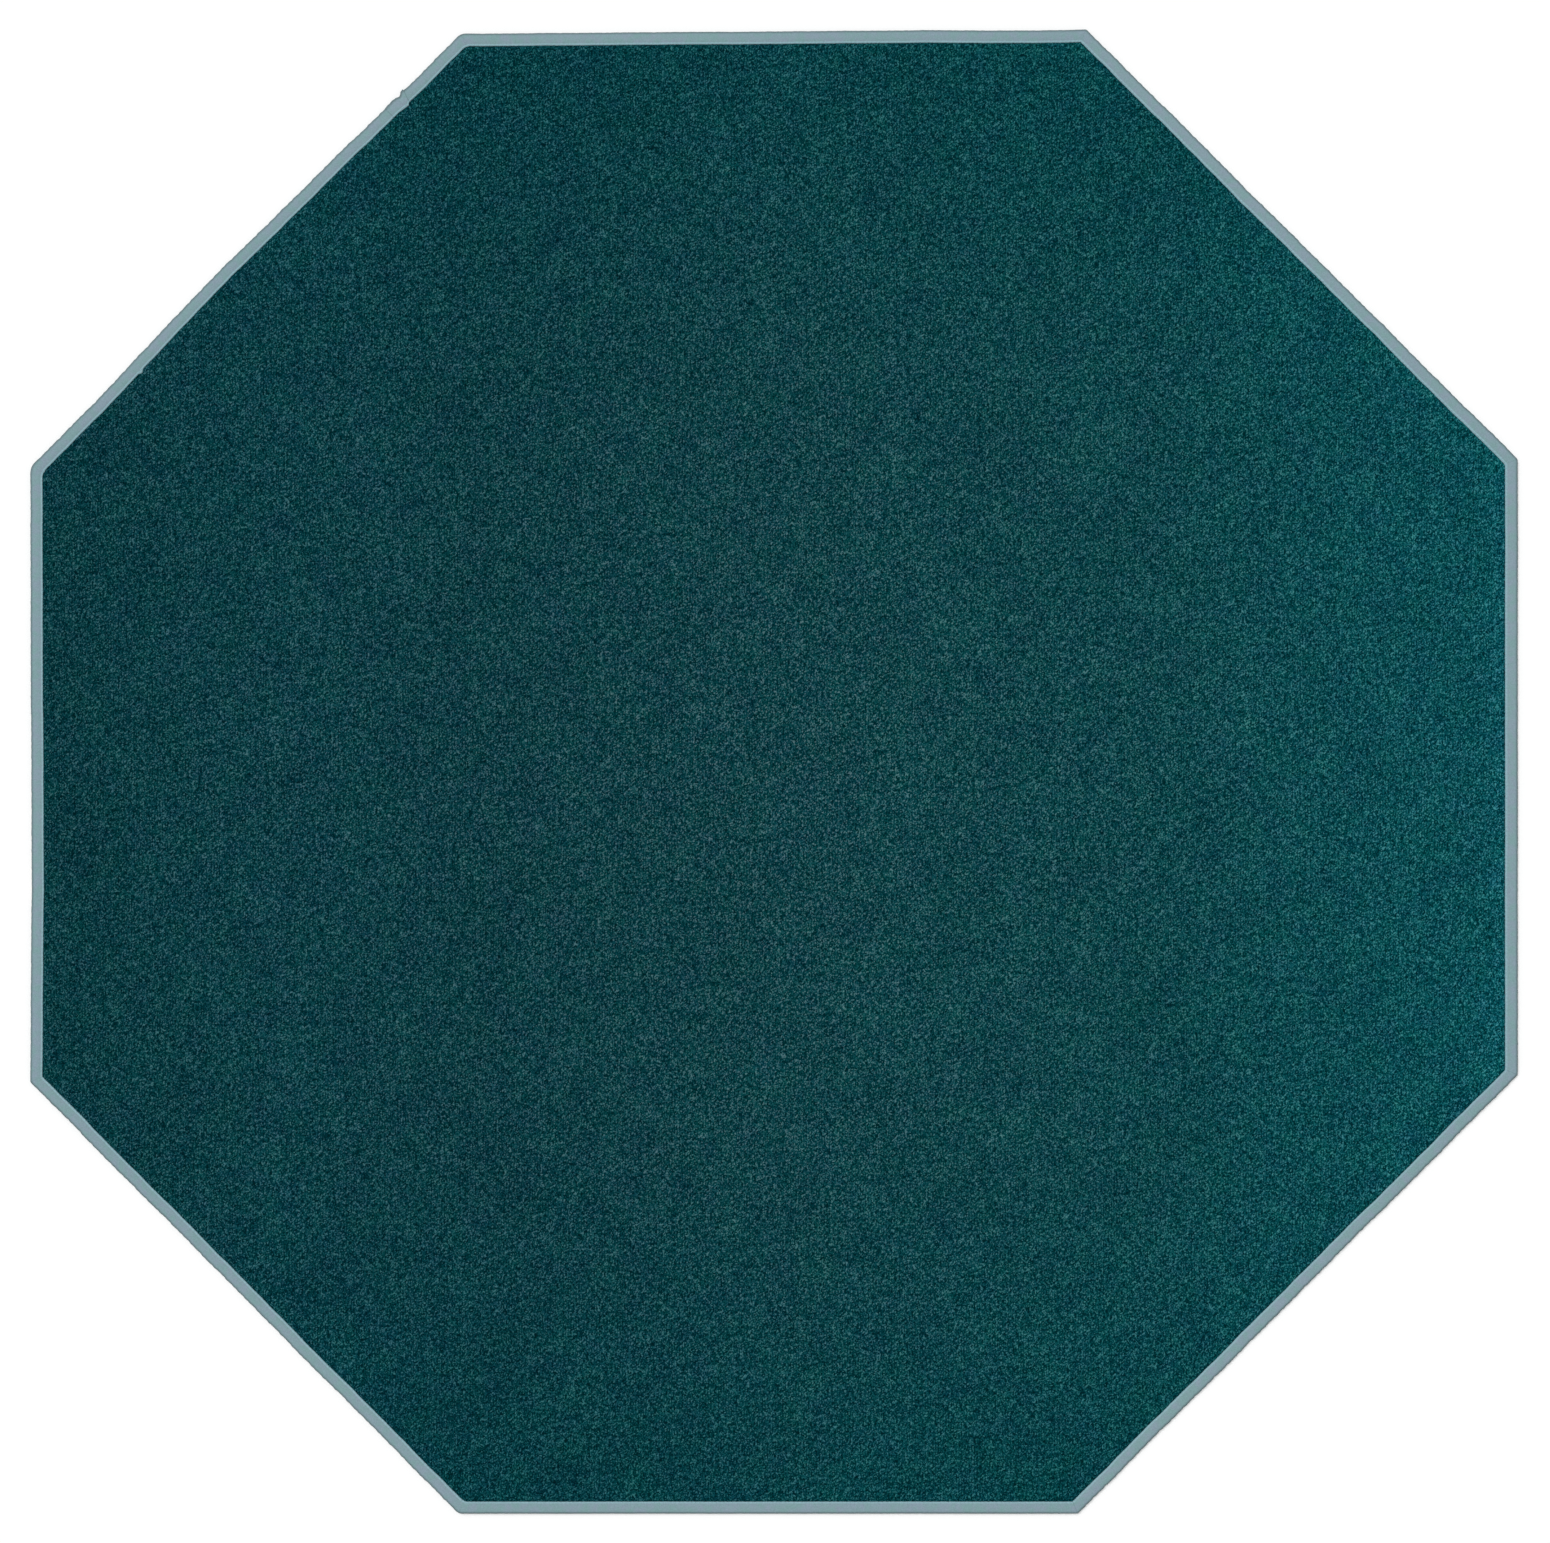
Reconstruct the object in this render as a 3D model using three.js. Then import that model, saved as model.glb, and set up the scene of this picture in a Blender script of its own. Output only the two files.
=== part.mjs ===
// An octagonal area rug: cut-pile tufted carpet, with a woven tape folded over its cut edge and sewn down.
// Millimetres, +Z up. The origin is under the middle of the rug, on the floor. The front is towards -Y.
import * as THREE from 'three';

// The cut outline, counter-clockwise seen from above. It was cut by hand, so no two sides are quite alike.
const CORNERS = [
  [914.5, -373],
  [914.5, 384],
  [384, 912.5],
  [-385.5, 907.5],
  [-914.5, 375],
  [-914.5, -382],
  [-388, -912.5],
  [373.5, -912.5],
].map(([x, y]) => new THREE.Vector2(x, y));
// The side that starts at each corner.
const SIDES = ['right', 'back_right', 'back', 'back_left', 'left', 'front_left', 'front', 'front_right'];

// The layers, from the floor up.
const SECONDARY_THICKNESS = 0.9;
const LATEX_THICKNESS = 1;
const PRIMARY_THICKNESS = 0.5;
const PILE_HEIGHT = 8.3;
const PILE_UNDER_TAPE = 2.3;
const LAYER_GAP = 0.1;

// The binding tape. It is folded over the edge, with a flap on top and a wider one underneath.
const TAPE_THICKNESS = 0.8;
const TAPE_TOP_FLAP = 16;
const TAPE_BOTTOM_FLAP = 18;
const TAPE_BEND = 2;
const FIT_GAP = 0.2;
const MITRE_GAP = 0.3;

// The carpet steps up over the bottom flap, and the pile stands up again beside the top flap.
const EDGE_INSET = 1.7;
const STEP_START = 24;
const STEP_END = TAPE_BOTTOM_FLAP + 1;
const PILE_FOOT = TAPE_TOP_FLAP + 0.4;
const PILE_SHOULDER = TAPE_TOP_FLAP + 2.5;
const PILE_LEVEL = TAPE_TOP_FLAP + 6;

// The end of the tape, lapped over its beginning near one end of the back left side.
const LAP_SIDE = SIDES.indexOf('back_left');
const LAP_LENGTH = 32;
const LAP_START = 99;
const LAP_CLIMB = 3;

// The row of lockstitch along the inner edge of each length of tape.
const THREAD_WIDTH = 0.9;
const THREAD_HEIGHT = 0.5;
const SEAM_INSET = 14.8;

const RIM_LIFT = TAPE_THICKNESS + FIT_GAP;
const LAP_LIFT = TAPE_THICKNESS + 2 * FIT_GAP;
const LATEX_BOTTOM = SECONDARY_THICKNESS + LAYER_GAP;
const PRIMARY_BOTTOM = LATEX_BOTTOM + LATEX_THICKNESS + LAYER_GAP;
const PILE_BOTTOM = PRIMARY_BOTTOM + PRIMARY_THICKNESS + LAYER_GAP;
const TAPE_TOP = RIM_LIFT + PILE_BOTTOM + PILE_UNDER_TAPE + FIT_GAP + TAPE_THICKNESS;

const COLOURS = {
  pile: 0x124147,
  cloth: 0xb3ab98,
  latex: 0x8f8b84,
  tape: 0x809da5,
  thread: 0x87a8b2,
};

function material(colour, roughness) {
  return new THREE.MeshStandardMaterial({ color: colour, roughness, metalness: 0 });
}

// How far a corner moves, along the line that halves its angle, for one millimetre of inset on both its sides.
function mitreAt(index) {
  const before = CORNERS[(index + 7) % 8];
  const here = CORNERS[index];
  const after = CORNERS[(index + 1) % 8];
  const inwardOf = (from, to) => new THREE.Vector2(from.y - to.y, to.x - from.x).normalize();
  const a = inwardOf(before, here);
  const b = inwardOf(here, after);
  return a.clone().add(b).divideScalar(1 + a.dot(b));
}

const MITRES = CORNERS.map((_, index) => mitreAt(index));

// A layer of carpet: a profile of [inset, z] points, closed on the middle of the rug, carried round all eight corners.
// It is turned as a lathe piece with eight sides, whose radius is the inset counted back from a round number, and
// each ring of eight points is then moved out to the corners of the real outline.
function layer(name, profile, surface) {
  const reach = 1000;
  const turned = profile.map(([inset, z]) => new THREE.Vector2(inset === null ? 0 : reach - inset, z));
  const geometry = new THREE.LatheGeometry(turned, 8);
  const place = geometry.getAttribute('position');
  for (let i = 0; i < place.count; i += 1) {
    const corner = Math.floor(i / turned.length) % 8;
    const [inset, z] = profile[i % turned.length];
    const spot = new THREE.Vector2();
    if (inset !== null) {
      spot.copy(CORNERS[corner]).addScaledVector(MITRES[corner], inset);
    }
    place.setXYZ(i, spot.x, spot.y, z);
  }
  geometry.computeVertexNormals();
  const mesh = new THREE.Mesh(geometry, surface);
  mesh.name = name;
  return mesh;
}

// A backing layer lies flat in the middle of the rug and steps up over the bottom flap of the tape.
function backing(name, bottom, thickness, surface) {
  const top = bottom + thickness;
  const profile = [
    [null, bottom],
    [STEP_START, bottom],
    [STEP_END, bottom + RIM_LIFT],
    [EDGE_INSET, bottom + RIM_LIFT],
    [EDGE_INSET, top + RIM_LIFT],
    [STEP_END, top + RIM_LIFT],
    [STEP_START, top],
    [null, top],
  ];
  return layer(name, profile, surface);
}

// The pile, pressed flat under the tape and standing at its full height inside it.
function pile() {
  const bottom = PILE_BOTTOM;
  const top = bottom + PILE_HEIGHT;
  const pressed = bottom + RIM_LIFT + PILE_UNDER_TAPE;
  const profile = [
    [null, bottom],
    [STEP_START, bottom],
    [STEP_END, bottom + RIM_LIFT],
    [EDGE_INSET, bottom + RIM_LIFT],
    [EDGE_INSET, pressed],
    [PILE_FOOT, pressed],
    [PILE_FOOT + 0.5, top - 2.5],
    [PILE_SHOULDER, top - 0.5],
    [PILE_LEVEL, top],
    [null, top],
  ];
  return layer('pile', profile, material(COLOURS.pile, 1));
}

// One side's length and directions, and the places where its two mitred ends lie.
function sideFrame(side) {
  const start = CORNERS[side];
  const end = CORNERS[(side + 1) % 8];
  const length = start.distanceTo(end);
  const along = end.clone().sub(start).divideScalar(length);
  const inward = new THREE.Vector2(-along.y, along.x);
  const first = { at: MITRE_GAP / 2, slope: MITRES[side].dot(along), lift: 0 };
  const last = { at: length - MITRE_GAP / 2, slope: MITRES[(side + 1) % 8].dot(along), lift: 0 };
  return { start, along, inward, first, last };
}

// A closed section in the plane of inset and z, run along one side from station to station. A station is a
// distance from the side's first corner, with the slant of its mitre and how far the section is lifted there.
function alongSide(name, side, section, surface, between = []) {
  const { start, along, inward, first, last } = sideFrame(side);
  const stations = [first, ...between, last];
  const steps = stations.length - 1;
  const geometry = new THREE.ExtrudeGeometry(section, { depth: steps, steps, bevelEnabled: false, curveSegments: 6 });
  const place = geometry.getAttribute('position');
  for (let i = 0; i < place.count; i += 1) {
    const inset = place.getX(i);
    const { at, slope, lift } = stations[Math.round(place.getZ(i))];
    const spot = start.clone().addScaledVector(along, at + slope * inset).addScaledVector(inward, inset);
    place.setXYZ(i, spot.x, spot.y, place.getY(i) + lift);
  }
  geometry.computeVertexNormals();
  const mesh = new THREE.Mesh(geometry, surface);
  mesh.name = name;
  return mesh;
}

// The tape's section: a long U lying on its side, round at the outer edge of the rug.
function tapeSection() {
  const inner = TAPE_BEND - TAPE_THICKNESS;
  const section = new THREE.Shape();
  section.moveTo(TAPE_BOTTOM_FLAP, 0);
  section.lineTo(TAPE_BOTTOM_FLAP, TAPE_THICKNESS);
  section.lineTo(TAPE_BEND, TAPE_THICKNESS);
  section.absarc(TAPE_BEND, TAPE_BEND, inner, -Math.PI / 2, Math.PI, true);
  section.lineTo(TAPE_THICKNESS, TAPE_TOP - TAPE_BEND);
  section.absarc(TAPE_BEND, TAPE_TOP - TAPE_BEND, inner, Math.PI, Math.PI / 2, true);
  section.lineTo(TAPE_TOP_FLAP, TAPE_TOP - TAPE_THICKNESS);
  section.lineTo(TAPE_TOP_FLAP, TAPE_TOP);
  section.lineTo(TAPE_BEND, TAPE_TOP);
  section.absarc(TAPE_BEND, TAPE_TOP - TAPE_BEND, TAPE_BEND, Math.PI / 2, Math.PI, false);
  section.lineTo(0, TAPE_BEND);
  section.absarc(TAPE_BEND, TAPE_BEND, TAPE_BEND, Math.PI, 1.5 * Math.PI, false);
  section.closePath();
  return section;
}

// The lapped end covers the top flap and the outer edge of the length under it, and stops just above the floor.
function lapSection() {
  const under = TAPE_BEND + FIT_GAP;
  const over = under + TAPE_THICKNESS;
  const level = TAPE_TOP - TAPE_BEND;
  const section = new THREE.Shape();
  section.moveTo(TAPE_TOP_FLAP, level + under);
  section.lineTo(TAPE_TOP_FLAP, level + over);
  section.lineTo(TAPE_BEND, level + over);
  section.absarc(TAPE_BEND, level, over, Math.PI / 2, Math.PI, false);
  section.lineTo(TAPE_BEND - over, TAPE_THICKNESS);
  section.lineTo(TAPE_BEND - under, TAPE_THICKNESS);
  section.lineTo(TAPE_BEND - under, level);
  section.absarc(TAPE_BEND, level, under, Math.PI, Math.PI / 2, true);
  section.closePath();
  return section;
}

// The thread lies on the tape as a low rounded bead.
function threadSection() {
  const foot = TAPE_TOP;
  const half = THREAD_WIDTH / 2;
  const section = new THREE.Shape();
  section.moveTo(SEAM_INSET - half, foot);
  section.lineTo(SEAM_INSET + half, foot);
  section.lineTo(SEAM_INSET + half / 2, foot + THREAD_HEIGHT);
  section.lineTo(SEAM_INSET - half / 2, foot + THREAD_HEIGHT);
  section.closePath();
  return section;
}

// The lapped end is square, so it is extruded in its own frame and then turned to stand along its side.
function bindingLap() {
  const { start, along, inward } = sideFrame(LAP_SIDE);
  const geometry = new THREE.ExtrudeGeometry(lapSection(), { depth: LAP_LENGTH, bevelEnabled: false, curveSegments: 6 });
  const mesh = new THREE.Mesh(geometry, material(COLOURS.tape, 0.9));
  const origin = start.clone().addScaledVector(along, LAP_START);
  const axes = [inward, along].map(({ x, y }) => new THREE.Vector3(x, y, 0));
  mesh.matrix.makeBasis(axes[0], new THREE.Vector3(0, 0, 1), axes[1]).setPosition(origin.x, origin.y, 0);
  mesh.matrix.decompose(mesh.position, mesh.quaternion, mesh.scale);
  mesh.name = 'binding_lap';
  return mesh;
}

const rug = new THREE.Group();

const cloth = material(COLOURS.cloth, 0.95);
rug.add(backing('secondary_backing', 0, SECONDARY_THICKNESS, cloth));
rug.add(backing('latex_layer', LATEX_BOTTOM, LATEX_THICKNESS, material(COLOURS.latex, 0.8)));
rug.add(backing('primary_backing', PRIMARY_BOTTOM, PRIMARY_THICKNESS, cloth.clone()));
rug.add(pile());

// The seam climbs onto the lapped end and comes down again after it.
const overLap = [
  { at: LAP_START - LAP_CLIMB, slope: 0, lift: 0 },
  { at: LAP_START - MITRE_GAP, slope: 0, lift: LAP_LIFT },
  { at: LAP_START + LAP_LENGTH + MITRE_GAP, slope: 0, lift: LAP_LIFT },
  { at: LAP_START + LAP_LENGTH + LAP_CLIMB, slope: 0, lift: 0 },
];
const tape = tapeSection();
const thread = threadSection();
SIDES.forEach((side, index) => {
  rug.add(alongSide(`binding_${side}`, index, tape, material(COLOURS.tape, 0.9)));
  const stations = index === LAP_SIDE ? overLap : [];
  rug.add(alongSide(`stitching_${side}`, index, thread, material(COLOURS.thread, 0.8), stations));
});
rug.add(bindingLap());

export default rug;
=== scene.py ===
import math

import bpy
import numpy as np
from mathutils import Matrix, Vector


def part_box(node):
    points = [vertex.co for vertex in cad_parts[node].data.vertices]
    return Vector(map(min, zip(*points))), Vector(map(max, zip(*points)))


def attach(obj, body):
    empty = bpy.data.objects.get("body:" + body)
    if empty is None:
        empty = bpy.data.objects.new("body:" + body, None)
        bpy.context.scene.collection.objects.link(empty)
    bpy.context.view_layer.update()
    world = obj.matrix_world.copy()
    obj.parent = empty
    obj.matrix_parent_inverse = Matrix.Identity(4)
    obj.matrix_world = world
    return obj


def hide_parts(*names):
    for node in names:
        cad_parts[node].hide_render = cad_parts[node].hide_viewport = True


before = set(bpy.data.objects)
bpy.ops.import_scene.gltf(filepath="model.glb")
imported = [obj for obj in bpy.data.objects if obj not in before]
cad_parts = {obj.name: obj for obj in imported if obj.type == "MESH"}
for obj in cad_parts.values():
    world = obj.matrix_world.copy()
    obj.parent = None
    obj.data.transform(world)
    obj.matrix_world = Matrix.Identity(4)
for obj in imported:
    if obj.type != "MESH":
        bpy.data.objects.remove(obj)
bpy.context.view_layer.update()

MM = 0.001
TURN = 2 * math.pi
random = np.random.default_rng(7)

SIDES = ("right", "back_right", "back", "back_left", "left", "front_left", "front", "front_right")
SIDE_COUNT = len(SIDES)

# ---------------------------------------------------------------- the outline, taken from the frame

TAPE_LOW, TAPE_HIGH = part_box("binding_right")
PILE_LOW, PILE_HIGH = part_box("pile")
LAP_LOW, LAP_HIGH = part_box("binding_lap")
EDGE_INSET = TAPE_HIGH.x - PILE_HIGH.x
TAPE_TOP = TAPE_HIGH.z
BOTTOM_FLAP = TAPE_HIGH.x - TAPE_LOW.x
TOP_FLAP = 16 * MM
TAPE_THICK = 0.8 * MM
SEAM_INSET = 14.8 * MM


def furthest_points(node):
    """The eight points of a flat node that lie furthest towards its eight corners."""
    points = np.array([v.co.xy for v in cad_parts[node].data.vertices])
    angles = np.radians(360 / SIDE_COUNT * (np.arange(SIDE_COUNT) - 0.5))
    towards = np.stack([np.cos(angles), np.sin(angles)])
    return points[np.argmax(points @ towards, axis=0)]


def side_lines(corners):
    """For each side, the unit vector along it, the one into the rug from it, and its length."""
    along = np.roll(corners, -1, axis=0) - corners
    length = np.linalg.norm(along, axis=1)
    along = along / length[:, None]
    return along, np.stack([-along[:, 1], along[:, 0]], axis=1), length


def mitres_of(corners):
    """How far each corner moves for one unit of inset on both its sides."""
    inward = side_lines(corners)[1]
    before = np.roll(inward, 1, axis=0)
    return (before + inward) / (1 + np.sum(before * inward, axis=1))[:, None]


RIM = furthest_points("pile")
MITRES = mitres_of(RIM)
CORNERS = RIM - MITRES * EDGE_INSET
ALONG, INWARD, LENGTH = side_lines(CORNERS)
# How far along its side each end of a line moves for one unit of inset.
START_SLANT = np.sum(MITRES * ALONG, axis=1)
END_SLANT = np.sum(np.roll(MITRES, -1, axis=0) * ALONG, axis=1)

# ---------------------------------------------------------------- how the hand-cut edge wanders

# The sides that aren't straight: how far in they lie, in millimetres, at some shares of their length.
BOWS = {
    "back": ((0, 0.15, 0.25, 0.6, 1), (0.7, 0.6, -0.2, 0, 0.3)),
    "back_left": ((0, 0.1, 0.58, 0.80, 1), (0.6, 0.1, -4.8, -0.1, 0.8)),
    "left": ((0, 0.28, 0.68, 0.9, 1), (0, 0.5, 1.8, 0.3, 0)),
}
STRAIGHT = ((0, 1), (0, 0))
# The height of each side's small waves, and how much wider than usual its top flap is.
WAVES = np.array([0.08, 0.28, 0.10, 0.28, 0.12, 0.28, 0.04, 0.28]) * MM
FLAP_EXTRA = np.array([0, 0.4, -0.1, -0.2, -0.7, -0.35, -0.8, -0.5]) * MM
# The radius that each corner is rounded to. The side of the same number starts at it.
ROUNDING = np.array([4, 6, 4, 17, 21, 4, 11, 4]) * MM
# The small waves are a sum of sines, which fades towards the corners. The short ones are in the fold only.
WAVE_LENGTHS = np.array([0.31, 0.17, 0.093, 0.052, 0.031, 0.019, 0.0105, 0.0068])
WAVE_WEIGHTS = np.array([0.9, 0.7, 0.6, 0.5, 0.4, 0.5, 0.6, 0.4])
WAVE_PHASES = random.uniform(0, TURN, (SIDE_COUNT, len(WAVE_LENGTHS)))
END_FADE = 25 * MM
SHORT_WAVE = 25 * MM
FOLD_REACH = 10 * MM
# The ragged edge of the top flap.
RAG_HEIGHT = 0.12 * MM
LONG_RAG, SHORT_RAG = 0.023, 0.0071

LAP_SIDE = SIDES.index("back_left")
LAP_MIDDLE = np.array([LAP_LOW.x + LAP_HIGH.x, LAP_LOW.y + LAP_HIGH.y]) / 2
LAP_AT = float((LAP_MIDDLE - CORNERS[LAP_SIDE]) @ ALONG[LAP_SIDE])
LAP_HALF = 16 * MM
LAP_START, LAP_END = LAP_AT - LAP_HALF, LAP_AT + LAP_HALF
LAP_RAISE = LAP_HIGH.z - TAPE_TOP
LAP_RAMP = 3 * MM
# The lapped end stands this far over the tape, and is cut on a slant. The tape is pinched and flared round the
# cut. Each pair is a distance past it and a depth there: how far in the whole edge is pinched, how far out the
# lap's fold reaches past it, and how far in the edge of the top flap lies, the pinch included.
LAP_OVER = 1.0 * MM
LAP_CUT_SLANT = 0.36
PINCH = np.array([(5, 0), (8, 1.4), (10, 1.4), (14, 0)]) * MM
LAP_OUTER = MM * np.array(
    [(0, 0.5), (1, 0.9), (4, 0.8), (6, -0.6), (9, -0.8), (13, -0.2), (17, 0), (27, 0), (32, -0.6)]
)
LAP_INNER = np.array([(7, 0), (8.2, 1.95), (9.5, 1.95), (23, 0)]) * MM
LAP_FLARE_REACH = 8 * MM
# A corner of the tape that was not trimmed off pokes into the pile on the same side.
SNAG_AT = 572 * MM
SNAG_REACH = 2.6 * MM
SNAG_WIDTH = 1.9 * MM


def past_cut(at, steps):
    """Reads a list of (distance past the lap's cut end, depth) at places along the lapped side."""
    return np.interp(at - LAP_START, steps[:, 0], steps[:, 1])


def rounded(distance, radius):
    """How far in a rounded corner lies, at a distance from the sharp one."""
    tangent = radius * math.tan(math.pi / SIDE_COUNT)
    short = np.clip(tangent - distance, 0, tangent)
    return radius - np.sqrt(radius * radius - short * short)


def edge_shift(side, at, inset=0.0):
    """How far a line along a side lies inside the straight one, the edge itself being at no inset."""
    length = LENGTH[side]
    bow = np.interp(at / length, *BOWS.get(SIDES[side], STRAIGHT)) * MM
    fade = np.clip(np.minimum(at, length - at) / END_FADE, 0, 1)
    fold_only = np.clip(1 - inset / FOLD_REACH, 0, 1)
    waves = sum(
        weight * np.sin(TURN * at / wave + phase) * (fold_only if wave < SHORT_WAVE else 1)
        for weight, wave, phase in zip(WAVE_WEIGHTS, WAVE_LENGTHS, WAVE_PHASES[side])
    )
    from_start = at - START_SLANT[side] * inset
    to_end = length + END_SLANT[side] * inset - at
    next_corner = (side + 1) % SIDE_COUNT
    corners = rounded(from_start, ROUNDING[side]) + rounded(to_end, ROUNDING[next_corner])
    pinch = past_cut(at, PINCH) if side == LAP_SIDE else 0
    return corners + (bow + WAVES[side] * waves) * fade + pinch


def hump(at, middle, width):
    """A smooth hump, 1 at its middle, that has faded to 0.6 at its width on each side."""
    return np.exp(-0.5 * ((at - middle) / width) ** 2)


def flap_reach(side, at):
    """How much further in than usual the top flap's edge reaches."""
    ragged = RAG_HEIGHT * np.sin(TURN * at / LONG_RAG + side) * np.sin(TURN * at / SHORT_RAG)
    reach = FLAP_EXTRA[side] + ragged
    if side == LAP_SIDE:
        inner = past_cut(at, LAP_INNER) - past_cut(at, PINCH)
        reach = reach + inner + SNAG_REACH * hump(at, SNAG_AT, SNAG_WIDTH)
    return reach


def lap_lift(side, at):
    """How far the seam is lifted where it crosses the lapped end of the tape."""
    if side != LAP_SIDE:
        return np.zeros_like(at)
    return LAP_RAISE * np.clip((LAP_HALF + LAP_RAMP - np.abs(at - LAP_AT)) / LAP_RAMP, 0, 1)


def on_side(side, at, across):
    """Points of (x, y) at distances along a side and into the rug from it."""
    return CORNERS[side] + at[..., None] * ALONG[side] + across[..., None] * INWARD[side]


# ---------------------------------------------------------------- meshes


def add_mesh(name, points, faces):
    """A new object from an array of points and a list of arrays of faces, each with one number of corners."""
    mesh = bpy.data.meshes.new(name)
    corners = np.concatenate([f.ravel() for f in faces]).astype(np.int32)
    totals = np.concatenate([np.full(len(f), f.shape[1]) for f in faces]).astype(np.int32)
    mesh.vertices.add(len(points))
    mesh.vertices.foreach_set("co", np.asarray(points, np.float32).ravel())
    mesh.loops.add(len(corners))
    mesh.loops.foreach_set("vertex_index", corners)
    mesh.polygons.add(len(totals))
    starts = np.concatenate([[0], np.cumsum(totals)[:-1]]).astype(np.int32)
    mesh.polygons.foreach_set("loop_start", starts)
    mesh.polygons.foreach_set("loop_total", totals)
    mesh.polygons.foreach_set("use_smooth", np.ones(len(totals), bool))
    mesh.update(calc_edges=True)
    mesh.validate()
    piece = bpy.data.objects.new(name, mesh)
    bpy.context.scene.collection.objects.link(piece)
    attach(piece, "root")
    return piece


def strip_quads(rings, sides):
    """Quads between rings of points that are numbered one ring after another, each ring a closed loop."""
    ring, side = np.meshgrid(np.arange(rings - 1), np.arange(sides), indexing="ij")
    a = (ring * sides + side).ravel()
    b = (ring * sides + (side + 1) % sides).ravel()
    return np.stack([a, b, b + sides, a + sides], axis=1)


def tube_faces(rings, sides):
    """The same quads, with both ends capped."""
    first = np.arange(sides)[::-1][None]
    last = (np.arange(sides) + (rings - 1) * sides)[None]
    return [strip_quads(rings, sides), first, last]


# ---------------------------------------------------------------- the pile

# Tufting rows run from front to back. Each tuft's tip is a high point, with a gap on each side of it.
ROW_GAUGE = 3.175 * MM
TUFT_PITCH = 3.0 * MM
ROW_GAP = 1.05 * MM
TUFT_GAP = 0.75 * MM
# How much the tips and the gaps vary in height, and how far each point strays from its place.
TUFT_SPREAD = 0.16 * MM
GAP_SPREAD = 0.4 * TUFT_SPREAD
LEAN = 0.20 * MM
# The mean tip is this far below the CAD's top, on a face that rises and falls gently.
TIP_BELOW_TOP = 0.35 * MM
SWELL_HEIGHT = 0.22 * MM
SWELL_WAVES = (0.05, 0.25)
# Under the tape the tufts are pressed, by up to this much more than at its edge, and beyond it they stand up.
PRESSED_TOP = TAPE_TOP - TAPE_THICK - 0.15 * MM
PRESSED_EXTRA = 0.5 * MM
PILE_EDGE = TOP_FLAP + 0.2 * MM
STANDING_UP = 1.5 * MM
ON_EDGE = 0.85 * MM
RIM_MARGIN = 0.4 * MM
FOOT = PILE_LOW.z + 1 * MM
# The material reads how much of a tip each point is: 1 on a tip, this much between two of a row, 0 elsewhere,
# and paints the tips lighter than the gaps as a painted highlight.
BETWEEN_TIPS = 0.35
TONE_RANGE = 6
SINE_COUNT = 24


def insets(points):
    """For each point, how far it is inside its nearest side, which side that is, and how far along it."""
    best = np.full(len(points), np.inf)
    nearest = np.zeros(len(points), int)
    where = np.zeros(len(points))
    for side in range(SIDE_COUNT):
        away = points - CORNERS[side]
        at = away @ ALONG[side]
        straight = away @ INWARD[side]
        depth = straight - edge_shift(side, at, straight)
        closer = depth < best
        best[closer] = depth[closer]
        nearest[closer] = side
        where[closer] = at[closer]
    return best, nearest, where


def soft_noise(points, waves, seed):
    """Smooth bumps over the rug, from a few dozen crossed sine waves between two lengths."""
    picker = np.random.default_rng(seed)
    total = np.zeros(len(points))
    for _ in range(SINE_COUNT):
        wave = picker.uniform(*waves)
        angle = picker.uniform(0, TURN)
        push = points @ np.array([math.cos(angle), math.sin(angle)])
        total += np.sin(TURN * push / wave + picker.uniform(0, TURN))
    return total / math.sqrt(SINE_COUNT / 2)


def tuft_grid():
    """The column and row numbers of a grid with two columns to a tufting row and two rows to a tuft."""
    columns = int(PILE_HIGH.x / (ROW_GAUGE / 2)) + 1
    rows = int(PILE_HIGH.y / (TUFT_PITCH / 2)) + 1
    return np.meshgrid(np.arange(-columns, columns + 1), np.arange(-rows, rows + 1), indexing="ij")


def free_heights(points, in_row, peak, tone):
    """The height of each point of the pile where nothing presses it."""
    height = np.where(peak, TUFT_SPREAD * tone, GAP_SPREAD * tone)
    height -= np.where(peak, 0, np.where(in_row, TUFT_GAP, ROW_GAP))
    height += SWELL_HEIGHT * soft_noise(points, SWELL_WAVES, seed=3)
    height += PILE_HIGH.z - TIP_BELOW_TOP
    return height


def press_by_tape(points, height, depth, nearest, at):
    """Presses the pile down under the tape, stands it up beside it, and lines its points up with the edge."""
    reach = np.zeros(len(points))
    for side in range(SIDE_COUNT):
        mine = nearest == side
        reach[mine] = flap_reach(side, at[mine])
    beyond = depth - (PILE_EDGE + reach)
    rise = 1 - np.exp(-np.clip(beyond, 0, None) / STANDING_UP)
    height = PRESSED_TOP + (height - PRESSED_TOP) * rise
    under = beyond < 0
    height[under] = PRESSED_TOP - PRESSED_EXTRA * random.random(under.sum())
    on_edge = np.abs(beyond) < ON_EDGE
    height[on_edge] = PRESSED_TOP
    points = points + np.where(on_edge, 0, LEAN)[:, None] * random.normal(0, 1, points.shape)
    points[on_edge] -= INWARD[nearest[on_edge]] * beyond[on_edge, None]
    return points, height


def grid_quads(kept, shape):
    """Quads between the kept points of a grid, and which of the kept points they use, as their new numbers."""
    number = np.full(kept.size, -1)
    number[kept] = np.arange(kept.sum())
    number = number.reshape(shape)
    corners = np.stack([number[:-1, :-1], number[1:, :-1], number[1:, 1:], number[:-1, 1:]], axis=-1)
    corners = corners.reshape(-1, 4)
    quads = corners[(corners >= 0).all(axis=1)]
    used = np.unique(quads)
    renumber = np.full(kept.sum(), -1)
    renumber[used] = np.arange(len(used))
    return renumber[quads], used


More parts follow.
